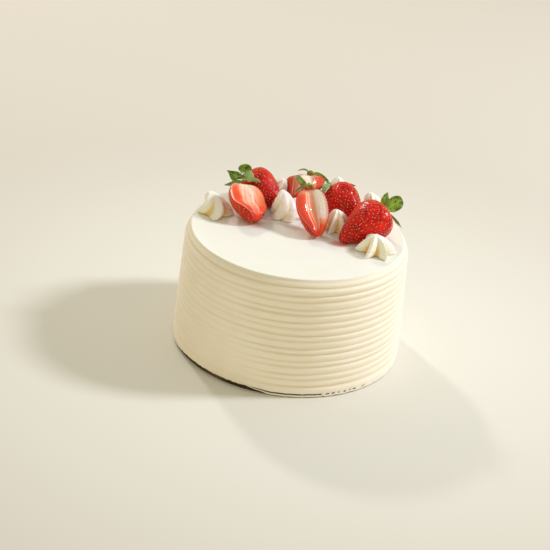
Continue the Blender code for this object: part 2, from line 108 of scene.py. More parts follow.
# How finely the pieces are divided
CAKE_STEPS = 600
RIDGE_STEPS = 7
TOP_ROWS = 16
SPONGE_ROWS = 9
ROSETTE_STEPS_PER_FOLD = 26
ROSETTE_ROWS = 64
BERRY_STEPS = 150
BERRY_ROWS = 104
HALF_SKIN_STEPS = 84
HALF_FACE_STEPS = 72
HALF_ROWS = 96
DENT_ROWS = 32
DENT_STEPS = 40
LEAF_ROWS = 26
LEAF_HALF_STEPS = 9
HUB_STEPS = 24
# Angles at which the rows of the cake have their points, also in degrees
ANGLES = np.arange(CAKE_STEPS) * 2.0 * math.pi / CAKE_STEPS
BEARINGS = np.degrees(ANGLES)

# The berries: how full their outline is, the dip at the crown as a share of the length, the
# side of a whole one that counts as its front, and the shares of the length, from the crown,
# between which a half's skin wraps round onto the cut face
BERRY_FULLNESS = 0.86
CROWN_DIP = 0.07
WHOLE_FACING = (0.0, -0.6, 0.8)
WRAP_ALONG = (0.45, 0.95)
# The fibres of a cut face: how far they slant, and how close they lie along the berry
FIBRE_SLANT = 0.28
FIBRE_WAVES = 118.0
# Share of the half width at which the pale lines beside the core run
CORE_EDGE = 0.28
PRESS_GAP = 0.0004
SEED_SPACING = 0.0029
SEED_LENGTH = 0.00120
SEED_WIDTH = 0.00072
SEED_HEIGHT = 0.00055
SEED_SIDES = 6
# Half-turns from a seed's front end at which its rings lie
SEED_RINGS = (0.30, 0.62, 0.88)
# Height above the top under which a berry has no seeds
SEEDLESS = 0.001
# Angle from the edge of a cut within which a half has no seeds, but for its tip
CUT_MARGIN = 0.32
DIMPLE_DEPTH = 0.00042
DIMPLE_RADIUS = 0.00115
# A small step of a parameter, for directions on a surface
NUDGE = 1e-3

LEAF_THICKNESS = 0.00045
LEAF_FOLD = 0.22
HUB_RADIUS = 0.0026
STEM_RADIUS = 0.0010
STEM_LENGTH = 0.0020

# The view of the photograph, for a frame of 550 by 550
FRAME_PIXELS = 550
FOCAL_PIXELS = 1484.83
MIDDLE_PIXEL = (291.48, 285.03)
CAMERA_DISTANCE = 1.131
CAMERA_ELEVATION = math.radians(27.33)
CAMERA_ROLL = math.radians(6.742)
CAKE_MIDDLE = np.array([0.0, 0.0, 0.5 * TOP])

# The lights, and the colour of the soft light from the horizon and from overhead
KEY_LIGHT = dict(direction=(0.74, 0.14, 0.62), distance=2.2, size=0.36, power=33.2,
                 colour=(0.90, 0.94, 1.0))
GLINT_LIGHT = dict(direction=(-0.45, 0.75, 0.65), distance=1.8, size=0.17, power=8.0,
                   colour=(1.0, 0.95, 0.92))
LOW_LIGHT = (0.942, 0.693, 0.222)
HIGH_LIGHT = (0.38, 0.462, 0.495)
FLOOR_REACH = 6.0


def on_top(place):
    """The point at a place on the top, given as x, y and the height above it."""
    return np.add(place, (0.0, 0.0, TOP))


# Each rosette: the berries pressed into it, its middle, radius and height, and the turn of its
# ridges from seat to peak; then, where they aren't the usual ones, the number of folds, their
# depth, how sharp the ridges are and the lean of the peak
ROSETTES = {
    "rosette_left": (["half_berry_front_left"], (-0.0635, 0.0125), 0.0162, 0.0150, 1.3,
                     dict(folds=4, depth=0.45, sharp=0.8, lean=(-0.0050, 0.0060))),
    "rosette_inner_left": (["half_berry_front", "berry_back_left", "half_berry_back_left"],
                           (-0.0108, 0.0215), 0.0136, 0.0200, 1.5,
                           dict(folds=5, depth=0.30, sharp=0.0, lean=(-0.0040, 0.0045))),
    "rosette_inner_right": (["half_berry_front", "berry_back_right", "berry_front_right"],
                            (0.0285, 0.0090), 0.0136, 0.0175, 0.3,
                            dict(depth=0.50, sharp=0.85, lean=(-0.0015, -0.0020))),
    "rosette_front_right": (["berry_front_right"], (0.0582, -0.0225), 0.0176, 0.0145, 0.35,
                            dict(depth=0.56, sharp=0.85, lean=(-0.0015, 0.0))),
    "rosette_right": (["berry_back_right"], (0.0560, 0.0450), 0.0130, 0.0180, 0.8,
                      dict(lean=(-0.0040, 0.0))),
    "rosette_back_right": (["berry_back_right"], (0.0285, 0.0665), 0.0125, 0.0185, 1.0,
                           dict(lean=(-0.0020, 0.0))),
    "rosette_back_middle": (["half_berry_back_left"], (0.0030, 0.0700), 0.0110, 0.0115, 0.5, {}),
    "rosette_under_half": (["half_berry_back_left", "half_berry_back_right"],
                           (0.0080, 0.0410), 0.0105, 0.0125, 0.5, dict(depth=0.30, sharp=0.0)),
    "rosette_back": (["half_berry_back_left", "berry_back_left"],
                     (-0.0195, 0.0605), 0.0120, 0.0150, 0.6, dict(lean=(0.0040, -0.0020))),
    "rosette_back_left": (["berry_back_left"], (-0.0410, 0.0635), 0.0105, 0.0120, 0.9, {}),
}


def berry(tip, crown, radius, taper, **cut):
    """A berry by its tip, its crown where the leaves sit, its greatest radius and its taper."""
    return dict(tip=on_top(tip), crown=on_top(crown), radius=radius, taper=taper, **cut)


WHOLE_BERRIES = {
    "berry_back_left": berry((-0.0180, 0.0332, 0.0055), (-0.0447, 0.0500, 0.0170), 0.0142, 0.32),
    "berry_back_right": berry((0.0413, 0.0200, 0.0088), (0.0223, 0.0430, 0.0170), 0.0139, 0.20),
    "berry_front_right": berry((0.0311, -0.0152, 0.0030), (0.0645, 0.0115, 0.0180), 0.0158, 0.55),
}

# A halved berry has also the way its cut face looks, the depth of its skin side and of its
# hollow core, the angle by which the two sides of the face fold in, the angle by which the skin
# wraps round onto the face at the tip, and how much redder the left side of the face is
HALVED_BERRIES = {
    "half_berry_front_left": berry(
        (-0.0328, -0.0012, 0.0035), (-0.0446, 0.0254, 0.0230), 0.0158, 0.26, facing=(0.56, -0.45, 0.74),
        depth=0.80, hollow=0.0008, fold=0.0, wrap=48.0, blush=0.3),
    "half_berry_front": berry(
        (0.0150, -0.0125, 0.0025), (0.0045, 0.0135, 0.0305), 0.0122, 0.22, facing=(0.15, -0.75, 0.60),
        depth=0.85, hollow=0.0022, fold=9.0, wrap=45.0, blush=1.0),
    "half_berry_back_left": berry(
        (-0.0064, 0.0470, 0.0048), (-0.0064, 0.0620, 0.0190), 0.0100, 0.25, facing=(-0.60, -0.65, 0.45),
        depth=0.60, hollow=0.0015, fold=5.0, wrap=15.0, blush=1.2),
    "half_berry_back_right": berry(
        (0.0078, 0.0300, 0.0205), (0.0044, 0.0525, 0.0242), 0.0104, 0.25, facing=(0.05, -0.35, 0.95),
        depth=0.70, hollow=0.0015, fold=5.0, wrap=15.0, blush=-0.8),
}
BERRIES = {**WHOLE_BERRIES, **HALVED_BERRIES}

# Juice on the top: the berry, how far the stain reaches from its tip, and how strong it is
STAINS = (("berry_front_right", 0.0080, 0.75), ("half_berry_front", 0.0050, 0.3),
          ("half_berry_front_left", 0.0050, 0.25))


def leaf(tip, width, over=None, face=None, point=0.7):
    """A leaf by its tip and width; over is a place it arches through, face the way it looks.

    Its end is rounder for a small value of point, sharper for a large one."""
    arch = None if over is None else on_top(over)
    return dict(tip=on_top(tip), width=width, over=arch, face=face, point=point)


# Each calyx: the berry that carries it and its leaves
CALYXES = {
    "leaves_back_left": ("berry_back_left", [
        leaf((-0.0599, 0.0490, 0.0206), 0.0066, face=(-0.2, -0.6, 0.8), point=0.80),
        leaf((-0.0515, 0.0550, 0.0214), 0.0092, face=(0.0, -0.7, 0.7), point=0.45),
        leaf((-0.0428, 0.0560, 0.0240), 0.0052, face=(0.1, -0.8, 0.6)),
    ]),
    "leaves_front_left": ("half_berry_front_left", [
        leaf((-0.0600, 0.0325, 0.0152), 0.0054, face=(0.0, -0.4, 0.9)),
        leaf((-0.0572, 0.0360, 0.0236), 0.0030, face=(-0.3, -0.6, 0.7)),
        leaf((-0.0420, 0.0310, 0.0304), 0.0084, face=(-0.1, 0.8, -0.5), point=0.5),
        leaf((-0.0316, 0.0250, 0.0240), 0.0034, face=(0.2, 0.6, -0.6)),
    ]),
    "leaves_back_right": ("berry_back_right", [
        leaf((0.0150, 0.0245, 0.0190), 0.0058, over=(0.0175, 0.0320, 0.0325),
             face=(0.3, 0.8, -0.4), point=0.6),
        leaf((0.0405, 0.0480, 0.0205), 0.0055),
        leaf((0.0160, 0.0520, 0.0100), 0.0055),
    ]),
    "leaves_front_right": ("berry_front_right", [
        leaf((0.0640, 0.0250, 0.0284), 0.0068, face=(-0.1, -0.9, 0.4), point=0.9),
        leaf((0.0755, 0.0215, 0.0250), 0.0112, over=(0.0710, 0.0190, 0.0235),
             face=(0.1, -0.85, 0.5), point=0.4),
        leaf((0.0767, 0.0045, 0.0098), 0.0046, over=(0.0725, 0.0075, 0.0120), point=0.9),
    ]),
    "leaves_back_middle": ("half_berry_back_right", [
        leaf((-0.0056, 0.0500, 0.0262), 0.0016, over=(-0.0010, 0.0510, 0.0296)),
        leaf((0.0198, 0.0550, 0.0184), 0.0054, face=(0.2, -0.7, 0.7), point=0.9),
    ]),
    "leaves_front": ("half_berry_front", [
        leaf((-0.0055, 0.0330, 0.0298), 0.0044, over=(-0.0045, 0.0225, 0.0318),
             face=(-0.3, -0.75, 0.6), point=0.6),
        leaf((-0.0060, 0.0190, 0.0215), 0.0046),
        leaf((0.0070, 0.0205, 0.0245), 0.0040),
    ]),
}


class Signal:
    """A shader value that Python's arithmetic works on: each operator adds its Math node."""

    def __init__(self, finish, socket):
        self.finish = finish
        self.socket = socket

    def math(self, operation, *others):
        """This value and others put through one Math node."""
        values = dict(enumerate([self, *others]))
        return self.finish.node("Math", dict(operation=operation), values)

    def __add__(self, other):
        return self.math("ADD", other)

    __radd__ = __add__

    def __sub__(self, other):
        return self.math("SUBTRACT", other)

    def __rsub__(self, other):
        return (self * -1.0) + other

    def __mul__(self, other):
        return self.math("MULTIPLY", other)

    __rmul__ = __mul__

    def between(self, low, high):
        """0 below low, 1 above high, with a smooth change between them."""
        return self.finish.node("MapRange", dict(interpolation_type="SMOOTHSTEP"),
                                {"Value": self, "From Min": low, "From Max": high})

    def outside(self, low, high):
        """1 below low, 0 above high, with a smooth change between them."""
        return 1.0 - self.between(low, high)


class Finish:
    """A material in the making: nodes are added by their type, settings and inputs.

    coat is a clear coat's weight and roughness; soft is the weight, scale and radius of the light
    that goes under the surface."""

    def __init__(self, name, roughness, coat=(), soft=(), **constants):
        self.material = bpy.data.materials.new(name)
        self.material.use_nodes = True
        self.tree = self.material.node_tree
        self.shader = self.tree.nodes["Principled BSDF"]
        coated = zip(("Coat Weight", "Coat Roughness"), coat)
        softened = zip(("Subsurface Weight", "Subsurface Scale", "Subsurface Radius"), soft)
        for socket, value in (("Roughness", roughness), *coated, *softened, *constants.items()):
            self.feed(self.shader.inputs[socket.replace("_", " ")], value)

    def feed(self, socket, value):
        """Link a value that is a signal, or set one that is a number or a colour."""
        if isinstance(value, Signal):
            self.tree.links.new(value.socket, socket)
        elif hasattr(value, "__len__") and len(value) == 3 and len(socket.default_value) == 4:
            socket.default_value = (*value, 1.0)
        else:
            socket.default_value = value

    def node(self, kind, settings, inputs, output=0):
        """Add a node, set its settings, then its inputs, and give one output as a signal."""
        made = self.tree.nodes.new("ShaderNode" + kind)
        for setting, value in settings.items():
            setattr(made, setting, value)
        for socket, value in inputs.items():
            self.feed(made.inputs[socket], value)
        return Signal(self, made.outputs[output])

    def place(self, *scale):
        """Object coordinates, in metres, each direction multiplied by its own scale."""
        where = self.node("TexCoord", {}, {}, "Object")
        return self.node("VectorMath", dict(operation="MULTIPLY"), {0: where, 1: scale})

    def distance(self, point, stretch=(1.0, 1.0, 1.0)):
        """Distance in metres from a fixed point, each direction multiplied by its stretch."""
        ends = {0: self.place(*stretch), 1: np.multiply(point, stretch)}
        return self.node("VectorMath", dict(operation="DISTANCE"), ends, "Value")

    def value(self, name):
        """A number that the mesh carries at each point."""
        return self.node("Attribute", dict(attribute_name=name), {}, "Fac")

    def noise(self, place, detail):
        """Soft noise from 0 to 1 at a place."""
        return self.node("TexNoise", {}, {"Vector": place, "Scale": 1.0, "Detail": detail})

    def grain(self, fineness, detail):
        """Soft noise that is alike in all directions, with about so many lumps to the metre."""
        return self.noise(self.place(fineness, fineness, fineness), detail)

    def mix(self, share, first, second):
        """The first colour where share is 0, the second where it is 1."""
        return self.node("Mix", dict(data_type="RGBA"), {0: share, 6: first, 7: second}, 2)

    def finished(self, colour, layers, height=0.0, distance=0.0):
        """The material, in a colour with layers over it, each a share and a colour, and raised by
        a bump of a height from 0 to 1 times a distance in metres."""
        for share, over in layers:
            colour = self.mix(share, colour, over)
        self.feed(self.shader.inputs["Base Color"], colour)
        if distance:
            bump = self.node("Bump", {}, {"Height": height, "Distance": distance, "Strength": 1.0})
            self.feed(self.shader.inputs["Normal"], bump)
        return self.material


def cream_finish():
    """Smoothed cream: fine drag lines of the comb, small pits with painted shade in them, painted
    shade in the comb's valleys, under the rim and round the foot, a flat top painted in its own
    cooler, slightly darker tone for how the light falls on it, a dark seam where crumb shows at
    the foot, pink juice by the berries."""
    made = Finish("combed_cream", 0.5, coat=(0.06, 0.35), soft=(0.12, 0.004, (1.0, 0.75, 0.45)))
    drag = made.noise(made.place(35.0, 35.0, 1500.0), 4.0)
    mottle = made.grain(60.0, 3.0)
    pitted = made.grain(700.0, 1.0).outside(0.22, 0.30) * mottle.between(0.5, 0.62)
    valley = made.value("valley")
    level = made.node("SeparateXYZ", {}, {"Vector": made.place(1.0, 1.0, 1.0)}, "Z")
    tone = mottle.between(0.3, 0.7)
    side = made.mix(tone, (0.950, 0.895, 0.820), (0.968, 0.916, 0.868))
    # Painted light: the flat top gets its own cooler, slightly darker tone of the same cream, for how
    # the light falls on it.
    top = made.mix(tone, (0.900, 0.893, 0.840), (0.917, 0.910, 0.880))
    layers = [(level.between(TOP - 0.0040, TOP - 0.0004), top),
              # Painted shade where the valley value is up to 1: in the comb's valleys, under the rim and
              # round the foot.
              (valley.between(0.05, 0.95) * 0.60, (0.83, 0.74, 0.54)),
              # Painted shade in the pits.
              (pitted * 0.35, (0.70, 0.58, 0.40)),
              (valley.between(1.1, 2.0), (0.10, 0.050, 0.022))]
    for name, reach, strength in STAINS:
        spot = (*BERRIES[name]["tip"][:2], TOP)
        rough_edge = made.distance(spot, (0.75, 1.0, 1.0)) + (mottle - 0.5) * 0.006
        layers.append((rough_edge.outside(0.3 * reach, reach) * strength, (0.80, 0.25, 0.22)))
    return made.finished(side, layers, drag * 0.55 + mottle * 0.35 - pitted * 0.5, 0.00022)


def rosette_finish():
    """Piped cream: smooth ivory ridges, with painted warm shade deep in the folds."""
    made = Finish("piped_cream", 0.38, coat=(0.12, 0.25), soft=(0.25, 0.005, (1.0, 0.85, 0.5)))
    fold = made.value("valley")
    mottle = made.grain(160.0, 3.0)
    # Painted warm shade deep in the folds, darker still in the deepest.
    deep = fold.between(0.45, 1.05) * 0.85 + (mottle - 0.5) * 0.10
    layers = [(mottle.between(0.35, 0.7), (0.990, 0.975, 0.935)),
              (deep.math("MAXIMUM", 0.0), (0.92, 0.72, 0.30)),
              (fold.between(0.66, 0.90) * 0.55, (0.78, 0.52, 0.17))]
    height = made.grain(900.0, 2.0) * 0.4 + mottle * 0.6
    return made.finished((0.980, 0.955, 0.890), layers, height, 0.00012)


def sponge_finish():
    """Dark chocolate sponge: level streaks from near-black to brown and a few pale crumbs."""
    made = Finish("dark_sponge", 0.9)
    streaks = made.noise(made.place(45.0, 45.0, 1100.0), 4.0)
    crumb = made.grain(900.0, 3.0)
    layers = [(streaks.between(0.42, 0.60), (0.14, 0.065, 0.028)),
              (crumb.between(0.62, 0.72) * 0.7, (0.42, 0.25, 0.12))]
    return made.finished((0.018, 0.007, 0.004), layers, crumb + streaks * 0.5, 0.0005)


def skin_finish():
    """Glazed strawberry skin: bright red that darkens in blotches, with painted shade towards the tip
    and in the dimples under the seeds, paler shoulders, more orange by a cut, under a wet clear coat."""
    made = Finish("berry_skin", 0.35, coat=(0.5, 0.04), soft=(0.05, 0.003, (1.0, 0.2, 0.1)),
                  Coat_IOR=1.4, Specular_IOR_Level=0.06)
    along, dimple, across = map(made.value, ("along", "dimple", "across"))
    blotch = made.grain(130.0, 3.0)
    # Bright red in blotches, fading towards the tip as painted shade.
    bright = blotch.between(0.30, 0.64) * (1.0 - along.between(0.35, 0.95) * 0.65)
    by_cut = across.math("ABSOLUTE").between(0.45, 0.95)
    layers = [(bright, (0.88, 0.014, 0.010)),
              (along.outside(0.02, 0.2) * 0.35, (0.84, 0.14, 0.05)),
              (by_cut * (0.80 - along.between(0.45, 0.92) * 0.60), (0.80, 0.085, 0.020)),
              # Painted shade in the dimples under the seeds.
              (dimple * 0.35, (0.34, 0.003, 0.003))]
    height = made.grain(1100.0, 1.0) * 0.6 + blotch * 0.4
    return made.finished((0.42, 0.003, 0.004), layers, height, 0.00015)


def flesh_finish():
    """Cut strawberry: from pale to red outwards, towards the tip and towards its redder side,
    with a speckled core between two pale lines, pale fibres that slant out to the rim, and a
    painted wet highlight along one edge of the cut."""
    made = Finish("berry_flesh", 0.35, coat=(0.38, 0.05), soft=(0.05, 0.003, (1.0, 0.35, 0.2)),
                  Specular_IOR_Level=0.05)
    across, along, blush = map(made.value, ("across", "along", "blush"))
    side = across.math("ABSOLUTE")
    blotch = made.grain(240.0, 3.0)
    redness = side * 0.55 + blush * across * 0.75 + along * 0.45 + (blotch - 0.5) * 0.35
    redness = redness + along.between(0.58, 0.95) * 0.45
    pale = made.mix(blush.between(0.4, 0.9), (0.99, 0.92, 0.85), (1.0, 0.90, 0.92))
    flow = made.node("CombineXYZ", {}, dict(X=across * 8.0, Y=along * 1.8 - side * 1.2, Z=blush))
    streak = made.noise(flow, 2.0).between(0.52, 0.68) * along.outside(0.55, 0.85)
    slant = (along + side * FIBRE_SLANT + (blotch - 0.5) * 0.03) * FIBRE_WAVES
    fibre = (slant.math("SINE") * 0.5 + 0.5).between(0.55, 1.0) * side.between(CORE_EDGE, 0.45)
    ticks = (1.0 - fibre) * side.between(0.70, 0.92)
    off_core = (across + blush * 0.10).math("ABSOLUTE")
    core = off_core.outside(0.10, 0.25) * along.outside(0.80, 0.95)
    specks = made.grain(1500.0, 1.0).between(0.56, 0.68)
    core_colour = made.mix(specks * 0.5, (0.93, 0.30, 0.17), (0.98, 0.84, 0.72))
    line = (side - CORE_EDGE).math("ABSOLUTE").outside(0.01, 0.08) * along.outside(0.80, 0.95)
    crown = along.outside(0.04, 0.20) * (1.0 - side * 0.7)
    # A painted wet highlight along one edge of the cut, broken by the blotches.
    painted_edge_highlight = across.between(0.86, 0.92) * (1.0 - blush).between(0.0, 0.6) * along.outside(0.70, 0.90)
    layers = [(redness.between(0.02, 0.42), (0.93, 0.25, 0.09)),
              (redness.between(0.34, 0.66), (0.88, 0.042, 0.004)),
              (redness.between(0.85, 1.25), (0.62, 0.015, 0.010)),
              (streak * redness.outside(0.4, 0.85) * 0.65, (0.99, 0.88, 0.79)),
              (fibre * 0.20, (0.98, 0.72, 0.50)),
              (ticks * 0.7, (0.86, 0.14, 0.03)),
              (core * (blush * 0.4 + 0.35), core_colour),
              (line * 0.6, (0.97, 0.82, 0.70)),
              (crown * 0.75, (0.93, 0.77, 0.56)),
              (side.between(0.93, 0.98), (0.62, 0.02, 0.015)),
              (painted_edge_highlight * (0.4 + blotch.between(0.35, 0.60)) * 0.55, (0.98, 0.84, 0.74))]
    height = fibre * 0.3 + streak * 0.2 + made.grain(900.0, 1.0) * 0.6
    return made.finished(pale, layers, height, 0.0004)


def leaf_finish():
    """Strawberry leaf: fresh green with a pale midrib and side veins, greyish below."""
    made = Finish("berry_leaf", 0.5, coat=(0.12, 0.2), Specular_IOR_Level=0.3)
    across, along, under = map(made.value, ("across", "along", "underside"))
    patch = made.grain(260.0, 3.0)
    side = across.math("ABSOLUTE")
    rib = side.outside(0.03, 0.16)
    vein = ((along * 46.0 - side * 9.0).math("SINE") * 0.5 + 0.5).between(0.80, 1.0) * (1.0 - rib)
    layers = [(patch.between(0.38, 0.62), (0.215, 0.345, 0.010)),
              (rib * 0.6 + vein * 0.35, (0.36, 0.54, 0.10)),
              (along.outside(0.0, 0.22) * 0.6, (0.36, 0.44, 0.08)),
              (side.between(0.80, 1.0) * 0.6, (0.32, 0.46, 0.08)),
              (under * 0.85, (0.30, 0.42, 0.17))]
    height = vein * -0.6 - rib * 0.8 + patch * 0.5
    return made.finished((0.038, 0.088, 0.002), layers, height, 0.00018)


def seed_finish():
    """Strawberry seed: straw yellow, some browner, slightly glossy."""
    made = Finish("berry_seed", 0.35, coat=(0.8, 0.10))
    browner = made.grain(700.0, 1.0).between(0.35, 0.65)
    height = made.grain(4000.0, 1.0)
    return made.finished((0.82, 0.52, 0.20), [(browner, (0.40, 0.07, 0.02))], height, 0.00004)


def floor_finish():
    """Pale stone floor, a little warmer far from the cake."""
    made = Finish("pale_floor", 0.75)
    far = made.distance((0.0, 0.0, 0.0)).between(0.12, 0.42)
    return made.finished((0.78, 0.755, 0.71), [(far, (0.665, 0.620, 0.575))])


def unit(vectors):
    """Vectors scaled to length one."""
    vectors = np.asarray(vectors, dtype=float)
    return vectors / np.linalg.norm(vectors, axis=-1, keepdims=True)


def once_round(steps):
    """Evenly spaced angles once round."""
    return np.linspace(0.0, 2.0 * math.pi, steps, endpoint=False)


def ringed_form(rings, first, last, values=None, face_step=None):
    """A closed surface through rings of points, with a point at either end.

    Neighbouring points of neighbouring rings make quadrilaterals, and each end is closed with
    triangles. If the volume comes out negative, every face is turned round. values gives named
    numbers on the grid; steps from face_step on belong to the second finish."""
    rows, around = rings.shape[:2]
    points = np.concatenate([[first], rings.reshape(-1, 3), [last]])
    here = 1 + np.arange(rows * around).reshape(rows, around)
    beside = np.roll(here, -1, axis=1)
    quads = np.stack([here[:-1], beside[:-1], beside[1:], here[1:]], axis=2).reshape(-1, 4)
    start_fan = np.stack([0 * here[0], beside[0], here[0]], axis=1)
    end_fan = np.stack([here[-1], beside[-1], 0 * here[-1] + len(points) - 1], axis=1)
    triangles = np.vstack([start_fan, end_fan])
    halves = np.vstack([triangles, quads[:, [0, 1, 2]], quads[:, [0, 2, 3]]])
    a, b, c = points[halves.T]
    if (a * np.cross(b, c)).sum() < 0.0:
        quads, triangles = quads[:, ::-1], triangles[:, ::-1]
    named = {}
    for name, grid in (values or {}).items():
        full = np.broadcast_to(grid, (rows, around))
        named[name] = np.concatenate([[full[0].mean()], full.ravel(), [full[-1].mean()]])
    second = np.arange(around) >= (around if face_step is None else face_step)
    kinds = np.concatenate([np.tile(second, rows - 1), second, second])
    return dict(points=points, quads=quads, triangles=triangles, values=named, kinds=kinds)


def add_object(name, data):
    """Put a mesh, lamp or camera into the scene as an object at the origin."""
    made = bpy.data.objects.new(name, data)
    bpy.context.scene.collection.objects.link(made)
    return made


def add_piece(name, forms, finishes, stands_for):
    """Join forms into one mesh, in place, and say what it rides on and stands for."""
    starts = np.cumsum([0] + [len(form["points"]) for form in forms])
    faces = []
    for start, form in zip(starts, forms):
        faces += (form["quads"] + start).tolist() + (form["triangles"] + start).tolist()
    mesh = bpy.data.meshes.new(name)
    mesh.from_pydata(np.vstack([form["points"] for form in forms]), [], faces)
    for finish in finishes:
        mesh.materials.append(FINISHES[finish])
    kinds = np.concatenate([form["kinds"] for form in forms])
    mesh.polygons.foreach_set("material_index", kinds.astype(np.int32))
    for key in forms[0]["values"]:
        numbers = np.concatenate([form["values"][key] for form in forms]).astype(np.float32)
        mesh.attributes.new(key, "FLOAT", "POINT").data.foreach_set("value", numbers)
    mesh.shade_smooth()
    piece = add_object(name, mesh)
    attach(piece, "root")
    if stands_for:
        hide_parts(*stands_for)
    return piece


def smooth_step(value, start, end):
    """0 below start, 1 above end, with a smooth change between them."""
    share = np.clip((value - start) / (end - start), 0.0, 1.0)
    return share * share * (3.0 - 2.0 * share)


def stretch(opening, closing):
    """1 along a stretch round the cake and 0 elsewhere, with smooth changes at both ends."""
    return smooth_step(BEARINGS, *opening) * (1.0 - smooth_step(BEARINGS, *closing))


def rough_line(rng, count, fewest, most):
    """A ragged line round the cake, about -1 to 1: the sum of waves that each go round a drawn
    number of times from a drawn start."""
    turns = rng.integers(fewest, most, count)
    starts = rng.uniform(0.0, 2.0 * math.pi, count)
    return np.sin(turns[:, None] * ANGLES + starts[:, None]).sum(axis=0) / math.sqrt(count)


def side_radius(height):
    """The side leans in from the base to the shoulder, then rounds in to the rim of the top."""
    rise = np.clip(height / (TOP - SHOULDER_DROP), 0.0, 1.0)
    over = np.clip((height - TOP + SHOULDER_DROP) / SHOULDER_DROP, 0.0, 1.0)
    return (BASE_RADIUS - (BASE_RADIUS - SHOULDER_RADIUS) * rise**1.4
            - (SHOULDER_RADIUS - RIM_RADIUS) * over**1.5)


def level_row(radius, height, valley=0.0):
    """One row round the cake: its radius, its height and how deep in a valley it lies."""
    return np.stack([part + 0.0 * ANGLES for part in (radius, height, valley)], axis=1)


def turned(radii, heights):
    """Points at radii and heights, one for each angle round the cake."""
    return np.stack([radii * np.cos(ANGLES), radii * np.sin(ANGLES), heights], axis=2)


def foot_rows(rng, skirt, ceiling):
    """Rows down the inside of the skirt, round its ragged hem and up the foot's band, in which
    the seam sinks by its depth times how open it is there."""
    hem = HEM_LOW + (HEM_HIGH - HEM_LOW) * stretch(HEM_CLIMB, HEM_DROP)
    hem = np.clip(hem + HEM_RAGGED * rough_line(rng, 14, 30, 160), *HEM_LIMITS)
    torn = 1.9 - 1.5 * smooth_step(BEARINGS, *SEAM_TEARS) + 0.9 * rough_line(rng, 12, 25, 120)
    seam = np.clip(torn, 0.0, 1.0) * stretch(SEAM_START, SEAM_END)
    # A row's third value sets painted shade under the hem and above the foot; the seam's larger marks
    # give the crumb colour instead.
    inside = [(skirt, ceiling, 0.6), (skirt, hem + 0.0003, 0.6), (skirt + 0.0002, hem, 0.3)]
    corner = [(BASE_RADIUS - HEM_ROUND, hem, 0.1), (BASE_RADIUS, hem + HEM_ROUND)]
    band = [(BASE_RADIUS - SEAM_DEPTH * open_share * seam, hem + share * (FOOT_TOP - hem),
             SEAM_MARK * open_share * seam) for share, open_share in SEAM_BAND]
    plain = [(BASE_RADIUS, FOOT_TOP), (BASE_RADIUS, 0.0068), (BASE_RADIUS - 0.0003, 0.0080, 0.3)]
    return [level_row(*row) for row in inside + corner + band + plain]


def comb_rows():
    """Rows of the combed side, and how far the last one sways.

    Within each ridge, the share of the pitch gives the cut of the comb: deepest at the valley,
    then a full bulge up to the crest and a short shelf back in. The ridges sway, and their depth
    fades and returns round the cake."""
    bulging = np.linspace(0.0, BULGE_SHARE, RIDGE_STEPS - 2, endpoint=False)
    share = np.tile([*bulging, CREST_SHARE, SHELF_SHARE], RIDGE_COUNT)[:, None]
    number = np.repeat(np.arange(RIDGE_COUNT), RIDGE_STEPS)[:, None]
    uneven = RIDGE_UNEVEN * (-1.0) ** number
    bulge = np.sin(0.5 * math.pi * np.clip(share / CREST_SHARE, 0.0, 1.0)) ** 0.8
    cut = np.where(share <= CREST_SHARE, 1.0 - bulge, (share - CREST_SHARE) / (1.0 - CREST_SHARE))
    climb = number + share
    sway = RIDGE_SWAY * (np.sin(ANGLES) + 0.35 * np.sin(3 * ANGLES + 1.7 * climb)
                         + 0.18 * np.sin(7 * ANGLES + 4.1 * number))
    aside = (BEARINGS - SMOOTHED_ROUND[0]) / SMOOTHED_ROUND[1]
    above = (climb - SMOOTHED_UP[0]) / SMOOTHED_UP[1]
    fading = (1.0 - 0.45 * stretch(WORN_START, WORN_END)) * (1.0 - 0.75 * np.exp(-aside**2 - above**2))
    depth = RIDGE_DEPTH * fading * (0.88 + 0.20 * np.cos(2.3 * number)
                                    + 0.12 * np.sin(4 * ANGLES + 1.3 * number))
    heights = LOWEST_GROOVE + number * RIDGE_PITCH - uneven + share * (RIDGE_PITCH + 2.0 * uneven) + sway
    # The third column is how deep in a valley each point lies, from which the cream's finish paints
    # shade.
    return np.stack([side_radius(heights) - depth * cut, heights, cut * fading], axis=2), sway[-1]


def shoulder_rows(rng, sway):
    """Rows from the last ridge over the shoulder to the slightly uneven rim."""
    highest = LOWEST_GROOVE + RIDGE_COUNT * RIDGE_PITCH + RIDGE_UNEVEN
    rim = RIM_RADIUS + 0.00012 * rough_line(rng, 6, 2, 14)
    shoulder = [level_row(side_radius(highest + rise) - inward, highest + rise + share * sway, valley)
                for rise, inward, share, valley in SHOULDER_ROWS]
    return shoulder + [level_row(rim + out, TOP + above, valley) for out, above, valley in RIM_ROWS]


def top_rows():
    """Rows of the flat top, from the rim inwards, with faint waves left by the palette knife."""
    inward = np.linspace(1.0, 0.0, TOP_ROWS, endpoint=False)[:, None]
    radii = (RIM_RADIUS - 0.0008) * inward + 0.0 * ANGLES
    smear = np.sin(2 * ANGLES + 9 * inward) + np.sin(3 * ANGLES - 14 * inward + 1.0)
    return np.stack([radii, LEVEL_TOP + 0.00009 * smear * inward, 0.0 * radii], axis=2)


